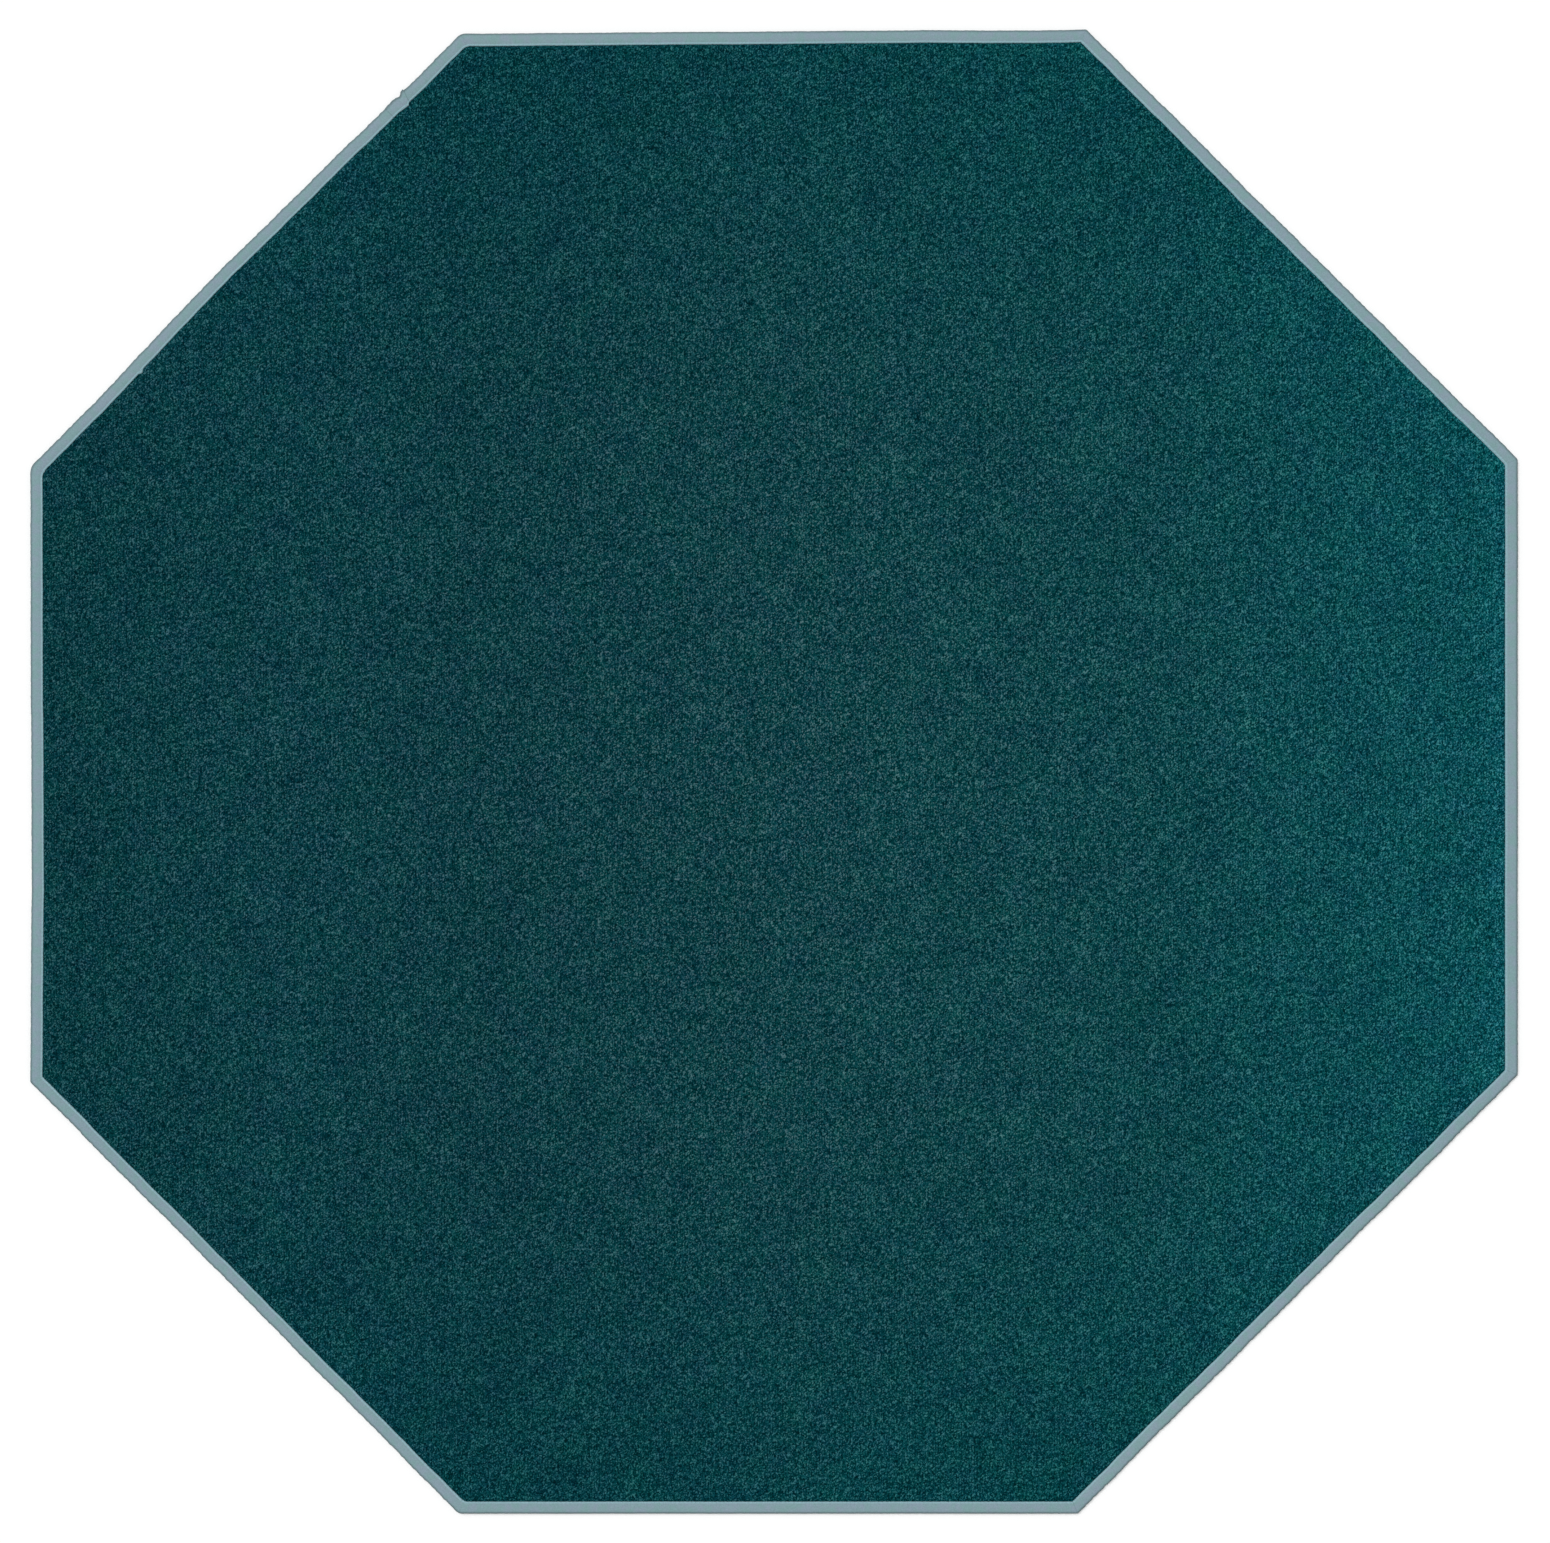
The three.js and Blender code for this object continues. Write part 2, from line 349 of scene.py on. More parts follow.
def boundary_loop(quads):
    """The points round the outside of a sheet of quads, in order."""
    edges = np.concatenate([quads[:, [i, (i + 1) % 4]] for i in range(4)])
    size = quads.max() + 1
    forward = edges[:, 0] * size + edges[:, 1]
    backward = edges[:, 1] * size + edges[:, 0]
    outside = edges[~np.isin(forward, backward)]
    follows = dict(outside.tolist())
    first = int(outside[0, 0])
    loop = [first]
    while follows[loop[-1]] != first:
        loop.append(follows[loop[-1]])
    return np.array(loop)


def make_pile():
    column, row = tuft_grid()
    shape = column.shape
    column, row = column.ravel(), row.ravel()
    points = np.stack([column * (ROW_GAUGE / 2), row * (TUFT_PITCH / 2)], axis=1)
    depth, nearest, at = insets(points)
    kept = depth > EDGE_INSET + RIM_MARGIN
    in_row = column % 2 == 0
    peak = in_row & ((row + column // 2) % 2 == 0)
    tone = random.normal(0, 1, len(points))
    height = free_heights(points, in_row, peak, tone)
    points, height = press_by_tape(points, height, depth, nearest, at)
    quads, used = grid_quads(kept, shape)
    top = np.column_stack([points, height])[kept][used]

    # Walls run down from the rim to a flat underside.
    loop = boundary_loop(quads)
    wall_foot = len(top) + np.arange(len(loop))
    foot = top[loop]
    foot[:, 2] = FOOT
    ahead = np.roll(np.arange(len(loop)), -1)
    walls = np.stack([loop[ahead], loop, wall_foot, wall_foot[ahead]], axis=1)
    underside = wall_foot[::-1][None]
    piece = add_mesh("pile_tufts", np.concatenate([top, foot]), [quads, walls, underside])

    shade = np.zeros((len(top) + len(foot), 4), np.float32)
    shade[: len(top), 0] = (peak + BETWEEN_TIPS * (in_row & ~peak))[kept][used]
    shade[: len(top), 1] = np.clip(0.5 + tone[kept][used] / TONE_RANGE, 0, 1)
    shade[:, 3] = 1
    layer = piece.data.attributes.new("tuft", "FLOAT_COLOR", "POINT")
    layer.data.foreach_set("color", shade.ravel())
    return piece


# ---------------------------------------------------------------- the backings

# The backings are rings of points at these insets. The outer ones lie on the tape's bottom flap, and the rest
# are a step lower, on the floor.
LAYER_RINGS = np.array([1.7, 6, 12, 19, 24, 40, 80, 140, 210, 290, 380, 480, 590, 700, 800, 880]) * MM
STEP_INSETS = [19 * MM, 24 * MM]
LAYER_STEP = TAPE_THICK + 0.2 * MM
RING_POINTS = 12
RIPPLE_WAVES = (0.04, 0.2)


def make_layer(name, node, ripple):
    """A backing cloth or coat, over the whole rug, flat in the middle and stepped up over the bottom flap."""
    low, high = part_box(node)
    thick = high.z - low.z - LAYER_STEP
    lifts = np.interp(LAYER_RINGS, STEP_INSETS, [LAYER_STEP, 0])
    share = np.arange(RING_POINTS)[:, None] / RING_POINTS
    lower, upper = [], []
    for ring, lift in zip(LAYER_RINGS, lifts):
        outline = CORNERS + MITRES * ring
        for start, end in zip(outline, np.roll(outline, -1, axis=0)):
            line = start * (1 - share) + end * share
            wave = ripple * soft_noise(line, RIPPLE_WAVES, seed=5)
            lower.append(np.column_stack([line, low.z + lift + np.clip(wave, 0, None)]))
            upper.append(np.column_stack([line, np.full(RING_POINTS, low.z + lift + thick)]))
    points = np.concatenate(lower + upper)
    count = len(points) // 2
    around = SIDE_COUNT * RING_POINTS
    quads = strip_quads(len(LAYER_RINGS), around)
    up, down = quads + count, quads[:, [0, 3, 2, 1]]
    rim = np.arange(around)
    ahead = (rim + 1) % around
    wall = np.stack([rim, ahead, ahead + count, rim + count], axis=1)
    inner = rim + (len(LAYER_RINGS) - 1) * around
    piece = add_mesh(name, points, [up, down, wall, (inner + count)[None], inner[::-1][None]])
    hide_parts(node)
    return piece


# ---------------------------------------------------------------- the binding tape

RIB_PITCH = 1.6 * MM
RIB_HEIGHT = 0.05 * MM
WARP_PITCH = 0.9 * MM
STITCH_PITCH = 5.0 * MM
FIRST_HOLE = 0.4 * STITCH_PITCH
# The fold is an arc up from the floor and one down from the top, and each stops this many degrees short of
# upright, with a straight piece between them.
BEND = 2.9 * MM
BEND_SHORT = 10
OUTER_ARC, INNER_ARC, CROWN_POINTS, BOTTOM_POINTS = 7, 5, 9, 5
# The heights of the last two points of the lap's fold, which is cut off above the floor.
LAP_CUT_LOW, LAP_CUT_HIGH = 1.2 * MM, 2.4 * MM
# The insets of the point in the middle of each flap's inside, of the start of the top flap's inside, and of the
# start of the part that follows the wandering edge of the top flap.
FLAP_BACK = 9 * MM
FLAP_INSIDE = 3 * MM
TIP_FROM, TIP_EASE = 12 * MM, 4 * MM
MITRE_GAP = 0.04 * MM
# The relief of the tape's top: its crown, the pull of the seam, the needle holes, the puckers between them, a
# slow rise and fall along the side, and the lip at the selvage.
CROWN_HEIGHT, CROWN_FROM, CROWN_WIDTH = 0.42 * MM, 2 * MM, 12 * MM
SEAM_DEPTH, SEAM_WIDTH = 0.16 * MM, 1.1 * MM
HOLE_DEPTH, HOLE_WIDTH = 0.22 * MM, 0.9 * MM
PUCKER_HEIGHT, PUCKER_FROM, PUCKER_EASE, PUCKER_PHASE = 0.10 * MM, 9 * MM, 5 * MM, 0.7
SLOW_HEIGHT, SLOW_WAVE, SLOWER_WAVE, SLOW_PHASE = 0.16 * MM, 0.071, 0.29, 1.3
LIP_HEIGHT, LIP_FROM, LIP_EASE = 0.14 * MM, 15.3 * MM, 0.7 * MM


def arc(middle, radius, start, end, count):
    angles = np.radians(np.linspace(start, end, count))
    return np.column_stack([middle[0] + radius * np.cos(angles), middle[1] + radius * np.sin(angles)])


def tape_section(reach=0.0, rise=0.0, under=True):
    """
    The two lines of (inset, z) round the tape's section: its outside from the bottom flap to the top one, then
    its inside back. A lap reaches out and rises over the tape that it covers, and has no bottom flap.
    """
    top = TAPE_TOP + rise
    below = top - TAPE_THICK
    outer = BEND + reach
    inner = outer - TAPE_THICK
    low_middle, high_middle = (BEND, BEND), (BEND, TAPE_TOP - BEND)
    high_arc = arc(high_middle, outer, 180 - BEND_SHORT, 90, OUTER_ARC)
    high_arc[:, 1] *= top / high_arc[-1, 1]
    flap = np.linspace(0, 1, CROWN_POINTS)[1:, None]
    crown = np.array([BEND, top]) * (1 - flap) + np.array([TOP_FLAP, top]) * flap
    back = np.array([[TOP_FLAP, below], [FLAP_BACK, below]])
    high_inside = arc(high_middle, inner, 90, 180 - BEND_SHORT, INNER_ARC)
    high_inside[:, 1] *= below / high_inside[0, 1]
    if under:
        bottom = np.linspace([BOTTOM_FLAP, 0], [BEND, 0], BOTTOM_POINTS)[:-1]
        low_arc = arc(low_middle, outer, 270, 180 + BEND_SHORT, OUTER_ARC)
        outside_start = np.concatenate([bottom, low_arc])
        low_inside = arc(low_middle, inner, 180 + BEND_SHORT, 270, INNER_ARC)
        inside_end = np.concatenate([low_inside, [[FLAP_BACK, TAPE_THICK], [BOTTOM_FLAP, TAPE_THICK]]])
    else:
        outside_start = np.array([[BEND - outer, LAP_CUT_LOW], [BEND - outer, LAP_CUT_HIGH]])
        inside_end = np.array([[BEND - inner, LAP_CUT_HIGH], [BEND - inner, LAP_CUT_LOW]])
    outside = np.concatenate([outside_start, high_arc, crown])
    inside = np.concatenate([back, high_inside, inside_end])
    return outside, inside


def normals_of(line):
    """The outward direction at each point of the tape's outside line."""
    step = np.gradient(line, axis=0)
    step /= np.linalg.norm(step, axis=1)[:, None]
    return np.column_stack([-step[:, 1], step[:, 0]])


def seam_places(side):
    """Distances along a side of the needle holes of its seam."""
    first = START_SLANT[side] * SEAM_INSET + FIRST_HOLE
    last = LENGTH[side] + END_SLANT[side] * SEAM_INSET - FIRST_HOLE
    count = int(round((last - first) / STITCH_PITCH))
    return np.linspace(first, last, count + 1)


def surface_height(side, inset, at):
    """How far the top of the tape stands above its flat section: crowned, and pulled down along the seam."""
    holes = seam_places(side)
    gap = holes[1] - holes[0]
    to_hole = np.abs((at - holes[0] + gap / 2) % gap - gap / 2)
    pull = hump(inset, SEAM_INSET, SEAM_WIDTH)
    dimple = -SEAM_DEPTH * pull - HOLE_DEPTH * pull * hump(to_hole, 0, HOLE_WIDTH)
    crown = CROWN_HEIGHT * np.sin(math.pi * np.clip((inset - CROWN_FROM) / CROWN_WIDTH, 0, 1))
    near_seam = np.clip((inset - PUCKER_FROM) / PUCKER_EASE, 0, 1)
    pucker = PUCKER_HEIGHT * np.sin(TURN * at / gap + PUCKER_PHASE) * near_seam
    slow = SLOW_HEIGHT * np.sin(TURN * at / SLOW_WAVE + SLOW_PHASE * side)
    slow = slow * np.sin(TURN * at / SLOWER_WAVE)
    lip = LIP_HEIGHT * np.clip((inset - LIP_FROM) / LIP_EASE, 0, 1)
    return dimple + crown + pucker + slow + lip


def run_section(name, side, section, ends, flare=False):
    """
    Runs the tape's section along a side, with its ribs and puckers. Each end is a distance along the side, and
    how much further along the section's points lie for one unit of inset.
    """
    outside, inside = section
    loop = np.concatenate([outside, inside])
    outward = np.concatenate([normals_of(outside), np.zeros_like(inside)])
    # The top flap, outside and inside, follows the relief of its top.
    high = loop[:, 1] > TAPE_TOP / 2
    inner_side = loop[:, 0] > FLAP_INSIDE
    facing_up = (np.arange(len(loop)) < len(outside)) & (outward[:, 1] > 0.5)
    follows = high & (facing_up | inner_side)
    (start, start_slant), (end, end_slant) = ends
    count = int((end - start) / (RIB_PITCH / 2)) + 1
    share = np.linspace(0, 1, count)[:, None]
    first = start + start_slant * loop[None, :, 0]
    last = end + end_slant * loop[None, :, 0]
    at = first * (1 - share) + last * share
    inset = np.broadcast_to(loop[None, :, 0], at.shape)
    rib = RIB_HEIGHT * np.cos(TURN * at / RIB_PITCH)
    tip = np.clip((inset - TIP_FROM) / TIP_EASE, 0, 1) * follows
    across = inset + outward[None, :, 0] * rib + tip * flap_reach(side, at) + edge_shift(side, at, inset)
    if flare:
        across = across - past_cut(at, LAP_OUTER) * np.clip(1 - inset / LAP_FLARE_REACH, 0, 1)
    z = loop[None, :, 1] + outward[None, :, 1] * rib + surface_height(side, inset, at) * follows
    z = np.clip(z, 0, None)
    points = np.concatenate([on_side(side, at, across), z[..., None]], axis=-1).reshape(-1, 3)
    piece = add_mesh(name, points, tube_faces(count, len(loop)))
    weave_map(piece, at.ravel(), np.tile(from_selvage(section), count))
    return piece


def from_selvage(section):
    """Distance round the section from the edge of the top flap, for a weave that the bend doesn't stretch."""
    loop = np.concatenate(section)
    distance = np.concatenate([[0], np.cumsum(np.linalg.norm(np.diff(loop, axis=0), axis=1))])
    return np.abs(distance[len(section[0]) - 1] - distance)


def weave_map(piece, along, across):
    """Lays the tape's own length and width, in metres, out as a UV map."""
    mesh = piece.data
    index = np.zeros(len(mesh.loops), np.int32)
    mesh.loops.foreach_get("vertex_index", index)
    layer = mesh.uv_layers.new(name="weave")
    uv = np.column_stack([along[index], across[index]]).astype(np.float32)
    layer.uv.foreach_set("vector", uv.ravel())


def make_tape(side):
    ends = ((MITRE_GAP, START_SLANT[side]), (LENGTH[side] - MITRE_GAP, END_SLANT[side]))
    piece = run_section("tape_" + SIDES[side], side, tape_section(), ends)
    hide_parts("binding_" + SIDES[side])
    return piece


def make_lap():
    section = tape_section(reach=LAP_OVER, rise=LAP_OVER, under=False)
    ends = ((LAP_START, LAP_CUT_SLANT), (LAP_END, 0))
    piece = run_section("tape_lap", LAP_SIDE, section, ends, flare=True)
    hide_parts("binding_lap")
    return piece


# ---------------------------------------------------------------- the seams

THREAD_RADIUS = 0.28 * MM
THREAD_RINGS = 9
THREAD_SIDES = 8
# A stitch stops short of the holes, starts below the tape's top and arches over it. Its plies are a twist in
# its outline, and its girth has one share at the ends and another added in the middle.
STITCH_SHORT = 0.25 * MM
STITCH_SUNK = 0.75 * MM
STITCH_ARCH = 0.92 * MM
STITCH_SLANT = 0.10 * MM
ARCH_POWER = 0.55
PLY_DEPTH, PLY_TURNS = 0.13, 9
END_GIRTH, MIDDLE_GIRTH = 0.55, 0.45


def make_stitches(side):
    """A row of lockstitches, each a short arch of two-ply thread that dives into a needle hole at both ends."""
    holes = seam_places(side)
    share = np.linspace(0, 1, THREAD_RINGS)
    turn = np.linspace(0, TURN, THREAD_SIDES, endpoint=False)
    arch = np.sin(math.pi * share) ** ARCH_POWER
    twist = 1 + PLY_DEPTH * np.cos(2 * turn[None, :] - PLY_TURNS * share[:, None])
    girth = THREAD_RADIUS * twist * (END_GIRTH + MIDDLE_GIRTH * arch[:, None] ** 0.5)
    stitch = tube_faces(THREAD_RINGS, THREAD_SIDES)
    all_points, all_faces = [], []
    for number, (hole, after) in enumerate(zip(holes[:-1], holes[1:])):
        at = hole + STITCH_SHORT + (after - hole - 2 * STITCH_SHORT) * share
        middle = TAPE_TOP + lap_lift(side, at) - STITCH_SUNK + STITCH_ARCH * arch
        slant = SEAM_INSET + edge_shift(side, at, SEAM_INSET) + STITCH_SLANT * np.sin(TURN * share)
        across = slant[:, None] + girth * np.cos(turn)[None, :]
        z = middle[:, None] + girth * np.sin(turn)[None, :]
        spots = on_side(side, at[:, None], across)
        all_points.append(np.concatenate([spots, z[..., None]], axis=-1).reshape(-1, 3))
        all_faces.append([faces + number * THREAD_RINGS * THREAD_SIDES for faces in stitch])
    faces = [np.concatenate(alike) for alike in zip(*all_faces)]
    piece = add_mesh("stitches_" + SIDES[side], np.concatenate(all_points), faces)
    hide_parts("stitching_" + SIDES[side])
    return piece


# ---------------------------------------------------------------- materials

# A noise texture seldom leaves this range.
NOISE_LOW, NOISE_HIGH = 0.3, 0.7


class Nodes:
    """A small helper that adds nodes to one material and joins them up."""

    def __init__(self, name):
        self.material = bpy.data.materials.new(name)
        self.material.use_nodes = True
        self.tree = self.material.node_tree
        self.shader = self.tree.nodes["Principled BSDF"]
        self.place = self.add("ShaderNodeTexCoord").outputs["Object"]

    def add(self, kind, **settings):
        node = self.tree.nodes.new(kind)
        for name, value in settings.items():
            setattr(node, name, value)
        return node

    def feed(self, socket, value):
        """Joins another node's output to a socket, or sets the socket to a value."""
        if isinstance(value, bpy.types.NodeSocket):
            self.tree.links.new(value, socket)
        else:
            socket.default_value = value

    def fill(self, node, **values):
        """Feeds a node's inputs by name, with _ for a space."""
        for name, value in values.items():
            self.feed(node.inputs[name.replace("_", " ")], value)
        return node

    def surface(self, **values):
        self.fill(self.shader, **values)

    def math(self, operation, a, b=0.0):
        node = self.add("ShaderNodeMath", operation=operation)
        self.feed(node.inputs[0], a)
        self.feed(node.inputs[1], b)
        return node.outputs[0]

    def vector(self, operation, *values):
        node = self.add("ShaderNodeVectorMath", operation=operation)
        for socket, value in zip(node.inputs, values):
            self.feed(socket, value)
        return node.outputs["Vector"]

    def noise(self, scale, detail=2.0, roughness=0.5, output="Fac"):
        node = self.add("ShaderNodeTexNoise")
        self.fill(node, Vector=self.place, Scale=scale, Detail=detail, Roughness=roughness)
        return node.outputs[output]

    def spread(self, value, low, high, to_low=0.0, to_high=1.0):
        node = self.add("ShaderNodeMapRange")
        self.fill(node, Value=value, From_Min=low, From_Max=high, To_Min=to_low, To_Max=to_high)
        return node.outputs["Result"]

    def varying(self, to_low, to_high, scale, detail=2.0, roughness=0.5):
        """A number that varies over the surface between two values."""
        return self.spread(self.noise(scale, detail, roughness), NOISE_LOW, NOISE_HIGH, to_low, to_high)

    def ramp(self, value, stops):
        node = self.fill(self.add("ShaderNodeValToRGB"), Fac=value)
        ramp = node.color_ramp
        while len(ramp.elements) < len(stops):
            ramp.elements.new(0.5)
        for element, (position, colour) in zip(ramp.elements, stops):
            element.position = position
            element.color = (*colour, 1)
        return node.outputs["Color"]

    def mix(self, factor, a, b, blend="MIX"):
        node = self.add("ShaderNodeMix", data_type="RGBA", blend_type=blend)
        self.feed(node.inputs[0], factor)
        for socket, value in ((node.inputs[6], a), (node.inputs[7], b)):
            self.feed(socket, (*value, 1) if isinstance(value, tuple) else value)
        return node.outputs[2]

    def times(self, first, *others):
        """A number multiplied by others."""
        for other in others:
            first = self.math("MULTIPLY", first, other)
        return first

    def tinted(self, colour, value, hue=0.5):
        """A colour made brighter by a factor, its hue turned where it isn't 0.5."""
        node = self.fill(self.add("ShaderNodeHueSaturation"), Color=colour, Value=value, Hue=hue)
        return node.outputs["Color"]

    def sine(self, value, pitch):
        return self.math("SINE", self.times(value, TURN / pitch))

    def bump(self, height, strength, distance, after=None):
        node = self.fill(self.add("ShaderNodeBump"), Height=height, Strength=strength, Distance=distance)
        if after:
            self.fill(node, Normal=after)
        return node.outputs["Normal"]

    def split(self, vector):
        node = self.add("ShaderNodeSeparateXYZ")
        self.feed(node.inputs[0], vector)
        return node.outputs


def linear(red, green, blue):
    """An sRGB colour, 0 to 255, as a linear one."""
    shares = (v / 255 for v in (red, green, blue))
    return tuple(v / 12.92 if v <= 0.04045 else ((v + 0.055) / 1.055) ** 2.4 for v in shares)


# How the nap lies changes the pile's shade, from its left edge to its right one, and from its middle to its
# front and back ends.
NAP_ACROSS = (
    (0.0, (0.33, 0.48, 0.50)),
    (0.17, (0.46, 0.56, 0.60)),
    (0.30, (0.48, 0.53, 0.56)),
    (0.52, (0.65, 0.63, 0.64)),
    (0.75, (0.50, 0.69, 0.69)),
    (0.90, (0.38, 0.81, 0.82)),
    (0.975, (0.36, 0.87, 0.90)),
    (1.0, (0.45, 1.04, 1.11)),
)
NAP_TO_ENDS = ((0.0, (1, 1, 1)), (0.5, (0.88, 0.98, 0.98)), (1.0, (0.40, 0.93, 0.94)))
NAP_GAIN = (0.95, 1.35, 1.365)
# The yarn from the darkest end to the brightest: the dark end is partly painted shade for the gaps between
# tufts, and the greyish bright end is a painted sheen highlight on the lit fibres.
YARN_AND_SHEEN = (
    (0.0, linear(0, 34, 38)),
    (0.25, linear(0, 50, 55)),
    (0.50, linear(6, 66, 71)),
    (0.75, linear(43, 88, 93)),
    (1.0, linear(104, 121, 124)),
)
# The cut ends of the yarn, longer along the rows than across them and with uneven outlines.
ENDS_SCALE = 850
ENDS_STRETCH = (1.1, 0.78, 1)
ENDS_WOBBLE = 1.3 * MM
# How far a tuft's tip, the tone of its yarn, the tone of each cut end and the outline of each end move the
# surface from the middle of the yarn's range: the tip as a painted highlight, the outline as painted shade, and
# the tones as the yarn's own.
TIP_LIGHT, TUFT_LIGHT, END_LIGHT, OUTLINE_SHADE = 0.20, 1.10, 0.95, 0.26


def pile_material():
    n = Nodes("cut_pile")
    tuft = n.add("ShaderNodeAttribute", attribute_name="tuft")
    tip, tone, _ = n.split(tuft.outputs["Color"])
    x, y, _ = n.split(n.place)
    nap = n.ramp(n.spread(x, -PILE_HIGH.x, PILE_HIGH.x), NAP_ACROSS)
    towards_ends = n.math("ABSOLUTE", n.spread(y, -PILE_HIGH.y, PILE_HIGH.y, -1, 1))
    shade = n.mix(1.0, nap, n.ramp(towards_ends, NAP_TO_ENDS), "MULTIPLY")

    ends = n.add("ShaderNodeTexVoronoi", voronoi_dimensions="2D", feature="SMOOTH_F1")
    wobble = n.noise(scale=1300, detail=1.0, output="Color")
    uneven = n.vector("MULTIPLY_ADD", wobble, (ENDS_WOBBLE,) * 3, n.place)
    n.fill(ends, Vector=n.vector("MULTIPLY", uneven, ENDS_STRETCH), Scale=ENDS_SCALE, Smoothness=0.35)
    end_tone, end_hue, _ = n.split(ends.outputs["Color"])

    # A tuft's tip catches the light, painted as a lighter colour, and the outlines of its ends are darkened as
    # painted shade in the gaps between them.
    tone_and_light = n.math("ADD", n.times(tip, TIP_LIGHT), n.times(n.math("SUBTRACT", tone, 0.5), TUFT_LIGHT))
    tone_and_light = n.math("ADD", tone_and_light, n.times(n.math("SUBTRACT", end_tone, 0.5), END_LIGHT))
    tone_and_light = n.math("SUBTRACT", tone_and_light, n.times(ends.outputs["Distance"], OUTLINE_SHADE))
    yarn_and_sheen = n.ramp(n.math("ADD", tone_and_light, 0.5), YARN_AND_SHEEN)
    colour = n.mix(1.0, n.mix(1.0, yarn_and_sheen, shade, "MULTIPLY"), NAP_GAIN, "MULTIPLY")

    patches = n.varying(0.95, 1.05, scale=9, detail=3.0)
    mottle = n.varying(0.94, 1.06, scale=55, detail=3.0, roughness=0.6)
    clumps = n.varying(0.90, 1.10, scale=190, detail=1.0)
    fibres = n.varying(0.86, 1.14, scale=2100, detail=3.0, roughness=0.7)
    brightness = n.times(n.times(patches, mottle), n.times(clumps, fibres))
    drift = n.varying(0.483, 0.517, scale=32, detail=3.0, roughness=0.6)
    hue = n.math("ADD", drift, n.spread(end_hue, 0, 1, -0.012, 0.012))
    n.surface(
        Base_Color=n.tinted(colour, brightness, hue),
        Roughness=0.95,
        Specular_IOR_Level=0.01,
        Sheen_Weight=0.10,
        Sheen_Roughness=0.5,
        Sheen_Tint=(0.03, 0.50, 0.55, 1),
        Normal=n.bump(n.noise(scale=2600, roughness=0.7), strength=0.7, distance=0.3 * MM),
    )
    return n.material


# Distances round the tape's section: where the painted highlight along the selvage fades, the middle of the
# bend, and how far from there the painted shade on the bend is full and gone.
SELVAGE_FROM, SELVAGE_TO, SELVAGE_HIGHLIGHT = 2.2 * MM, 3.0 * MM, 0.7
BEND_MIDDLE = TOP_FLAP - BEND + BEND * math.radians(90 - BEND_SHORT) + (TAPE_TOP - 2 * BEND) / 2
PAINTED_SHADE_FULL, PAINTED_SHADE_GONE, PAINTED_SHADE = 2.6 * MM, 5.4 * MM, 0.9


def tape_material():
    n = Nodes("woven_tape")
    uv = n.add("ShaderNodeUVMap", uv_map="weave")
    along, across, _ = n.split(uv.outputs["UV"])
    weave = n.times(n.sine(along, RIB_PITCH), n.sine(across, WARP_PITCH))
    cast = n.spread(n.noise(scale=85, roughness=0.55), 0.35, 0.65)
    colour = n.mix(cast, linear(121, 153, 155), linear(130, 150, 162))
    # A painted highlight along the selvage of the top flap, where its edge catches the light, and painted shade
    # on the bend, darker and greyer where the fold turns away from the light.
    selvage_highlight = n.spread(across, SELVAGE_TO, SELVAGE_FROM)
    colour = n.mix(n.times(selvage_highlight, SELVAGE_HIGHLIGHT), colour, linear(142, 178, 187))
    from_bend = n.math("ABSOLUTE", n.math("SUBTRACT", across, BEND_MIDDLE))
    painted_shade = n.spread(from_bend, PAINTED_SHADE_FULL, PAINTED_SHADE_GONE, PAINTED_SHADE, 0)
    colour = n.mix(painted_shade, colour, linear(92, 110, 113))
    fleck = n.varying(0.86, 1.14, scale=650, detail=4.0, roughness=0.7)
    fine = n.bump(n.noise(scale=2400, roughness=0.6), strength=0.35, distance=0.15 * MM)
    n.surface(
        Base_Color=n.tinted(colour, n.times(fleck, n.spread(weave, -1, 1, 0.94, 1.05))),
        Roughness=n.varying(0.72, 0.9, scale=400),
        Specular_IOR_Level=0.25,
        Normal=n.bump(weave, strength=0.5, distance=0.12 * MM, after=fine),
    )
    return n.material


def thread_material():
    n = Nodes("sewing_thread")
    wave = n.add("ShaderNodeTexWave", wave_type="BANDS", bands_direction="DIAGONAL")
    twist = n.fill(wave, Vector=n.place, Scale=700, Distortion=1.5).outputs["Fac"]
    colour = n.mix(twist, linear(132, 170, 180), linear(150, 186, 196))
    n.surface(
        Base_Color=n.tinted(colour, n.varying(0.92, 1.08, scale=900)),
        Roughness=0.55,
        Normal=n.bump(twist, strength=0.4, distance=0.08 * MM),
    )
    return n.material


WEFT_TO_RIBBON = 1.25


def scrim_material(name, tint, dark, pitch):
    """An open weave of flat ribbons over rougher weft yarns."""
    n = Nodes(name)
    x, y, _ = n.split(n.place)
    ribbon = n.spread(n.sine(x, pitch), -0.2, 0.5)
    weft = n.spread(n.sine(y, WEFT_TO_RIBBON * pitch), 0.1, 0.6)
    cover = n.math("MAXIMUM", ribbon, weft)
    streaks = n.varying(0.85, 1.15, scale=500, detail=3.0, roughness=0.6)
    n.surface(
        Base_Color=n.tinted(n.mix(cover, dark, tint), streaks),
        Roughness=0.6,
        Normal=n.bump(cover, strength=0.8, distance=0.4 * MM),
    )
    return n.material


def latex_material():
    n = Nodes("latex")
    clouds = n.varying(0, 1, scale=300, detail=4.0, roughness=0.6)
    lumps = n.noise(scale=700, detail=4.0, roughness=0.6)
    n.surface(
        Base_Color=n.mix(clouds, linear(128, 122, 112), linear(158, 152, 140)),
        Roughness=0.7,
        Normal=n.bump(lumps, strength=0.6, distance=0.3 * MM),
    )
    return n.material


def dress(piece, material):
    piece.data.materials.append(material)


# ---------------------------------------------------------------- building it

pile = make_pile()
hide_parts("pile")
dress(pile, pile_material())

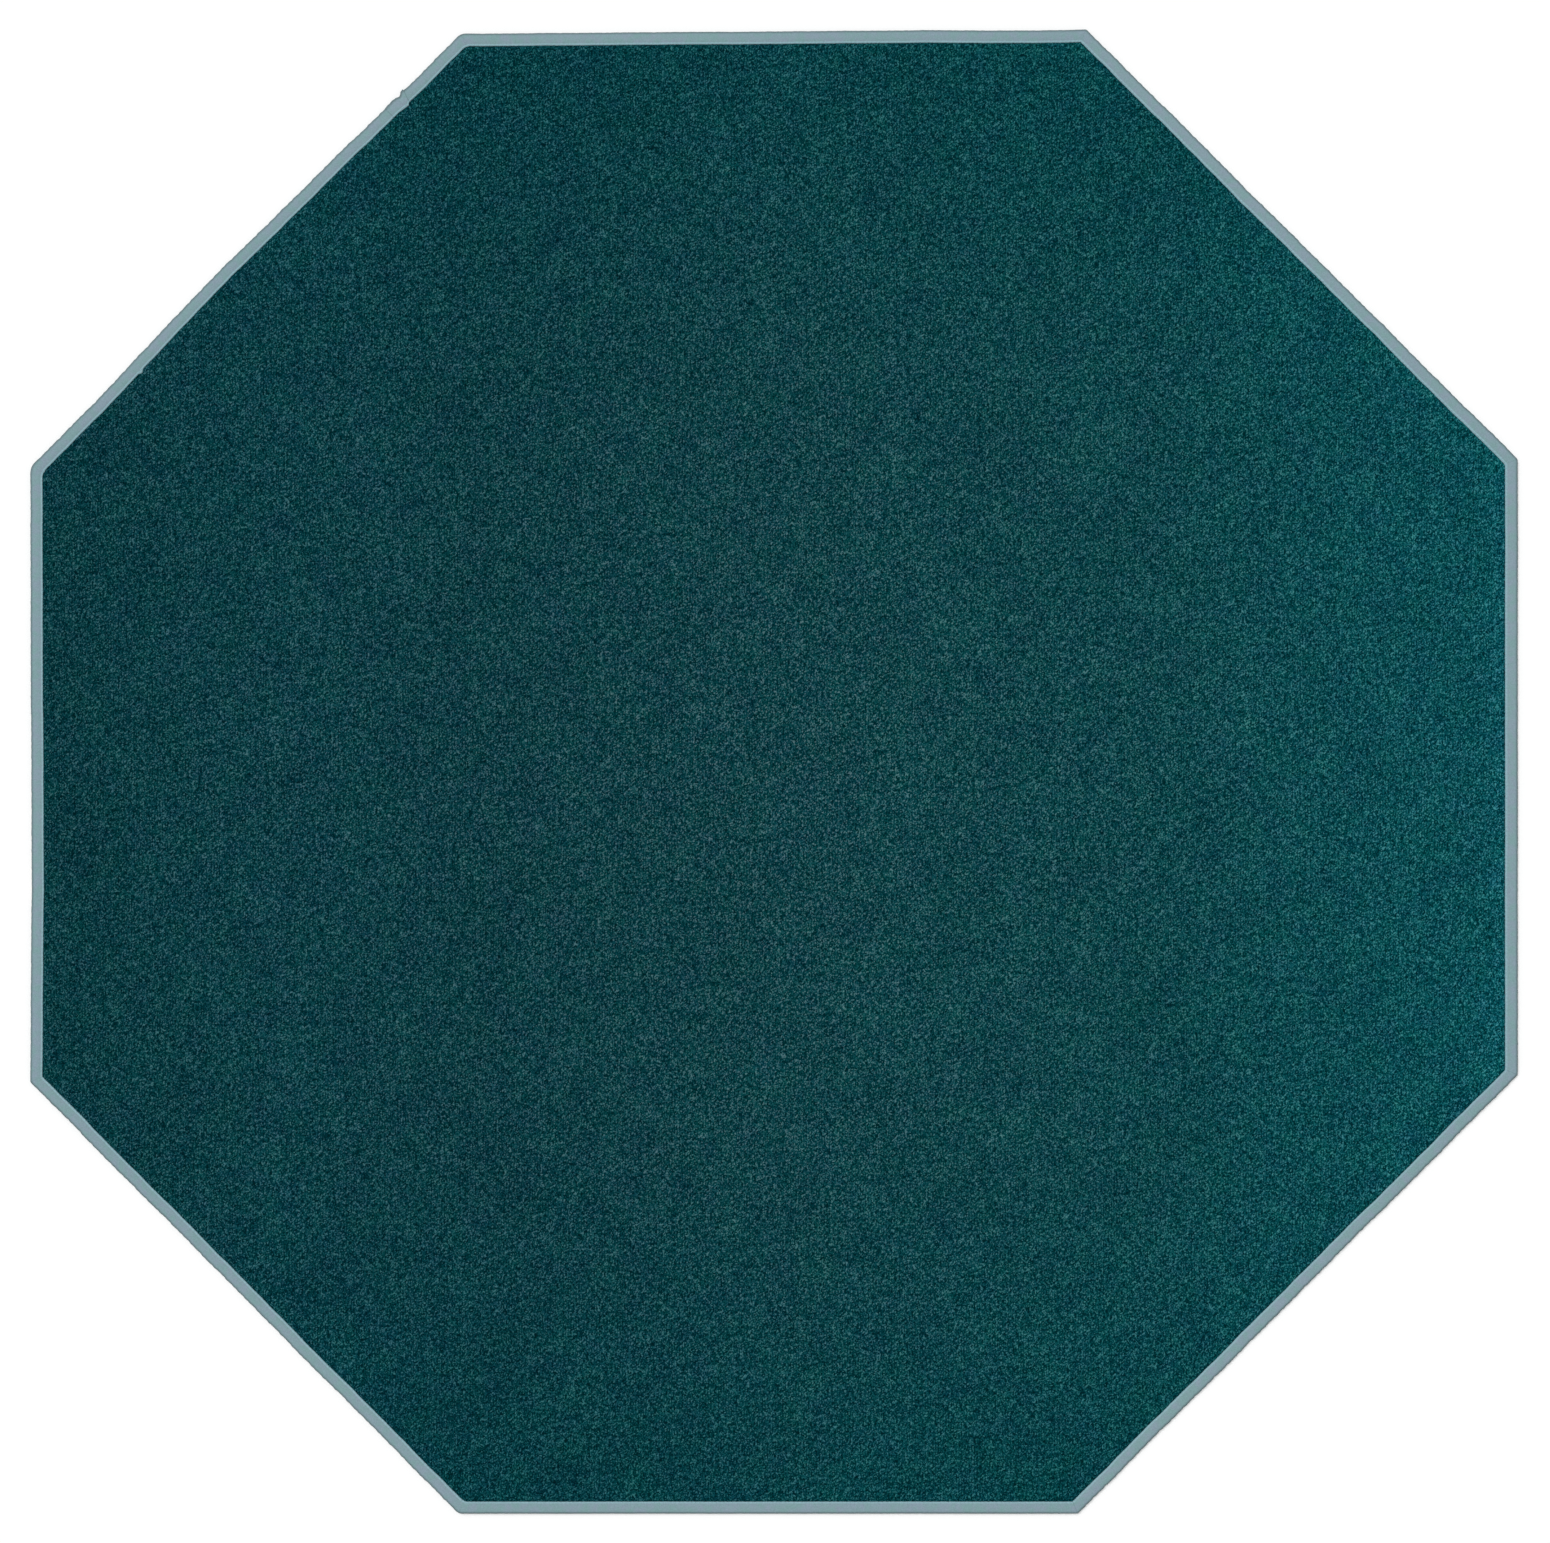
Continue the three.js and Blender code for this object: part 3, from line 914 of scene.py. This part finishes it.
scrim = make_layer("scrim", "secondary_backing", ripple=0.12 * MM)
scrim_look = scrim_material("open_scrim", linear(196, 188, 168), linear(122, 116, 104), pitch=4.0 * MM)
dress(scrim, scrim_look)
latex = make_layer("latex_coat", "latex_layer", ripple=0)
dress(latex, latex_material())
ground = make_layer("ground_cloth", "primary_backing", ripple=0)
ground_look = scrim_material("ground_weave", linear(186, 178, 160), linear(140, 134, 122), pitch=2.2 * MM)
dress(ground, ground_look)

tape_look = tape_material()
thread_look = thread_material()
tapes, seams = [], []
for side in range(SIDE_COUNT):
    tapes.append(make_tape(side))
    dress(tapes[-1], tape_look)
    seams.append(make_stitches(side))
    dress(seams[-1], thread_look)
lap = make_lap()
dress(lap, tape_look)

# ---------------------------------------------------------------- floor, light and camera

FLOOR_HALF = 40
FLOOR_BELOW = 0.2 * MM
FLOOR_GREY = 0.93
SUN_STRENGTH = 2.35
SUN_WIDTH = 40
SUN_FROM = (-1.2, 1.4, 5.0)
# The rug is lit by the room at one strength, and the camera sees its walls at another.
ROOM_LIGHT = 0.4
ROOM_WALLS = 1.0
WIDTH_SEEN = 1.9048
LENS, SENSOR = 85.0, 36.0
RIGHT_OF_MIDDLE = 1.2 * MM


def make_floor():
    corners = [(-1, -1), (1, -1), (1, 1), (-1, 1)]
    mesh = bpy.data.meshes.new("floor")
    points = [(x * FLOOR_HALF, y * FLOOR_HALF, -FLOOR_BELOW) for x, y in corners]
    mesh.from_pydata(points, [], [(0, 1, 2, 3)])
    floor = bpy.data.objects.new("floor", mesh)
    bpy.context.scene.collection.objects.link(floor)
    n = Nodes("pale_floor")
    n.surface(Base_Color=(FLOOR_GREY, FLOOR_GREY, FLOOR_GREY, 1), Roughness=0.9, Specular_IOR_Level=0.1)
    floor.data.materials.append(n.material)


def make_lights():
    """One wide soft light almost overhead, and a pale room."""
    light = bpy.data.lights.new("key", "SUN")
    light.angle = math.radians(SUN_WIDTH)
    light.energy = SUN_STRENGTH
    lamp = bpy.data.objects.new("key", light)
    lamp.location = SUN_FROM
    lamp.rotation_euler = (-lamp.location).to_track_quat("-Z", "Y").to_euler()
    bpy.context.scene.collection.objects.link(lamp)
    world = bpy.data.worlds.new("studio")
    world.use_nodes = True
    nodes, links = world.node_tree.nodes, world.node_tree.links
    room = nodes["Background"]
    room.inputs["Color"].default_value = (1, 1, 1, 1)
    strength = nodes.new("ShaderNodeMapRange")
    strength.inputs["To Min"].default_value = ROOM_LIGHT
    strength.inputs["To Max"].default_value = ROOM_WALLS
    links.new(nodes.new("ShaderNodeLightPath").outputs["Is Camera Ray"], strength.inputs["Value"])
    links.new(strength.outputs["Result"], room.inputs["Strength"])
    bpy.context.scene.world = world
    bpy.context.scene.view_settings.view_transform = "Standard"


def make_camera():
    """Straight above the rug, with the rug filling the frame as it does in the photo."""
    camera = bpy.data.cameras.new("camera")
    camera.lens = LENS
    camera.sensor_width = SENSOR
    camera.clip_end = 100
    eye = bpy.data.objects.new("camera", camera)
    eye.location = (RIGHT_OF_MIDDLE, 0, TAPE_TOP + WIDTH_SEEN / 2 * LENS / (SENSOR / 2))
    eye.rotation_euler = (0, 0, 0)
    bpy.context.scene.collection.objects.link(eye)
    bpy.context.scene.camera = eye


make_floor()
make_lights()
make_camera()
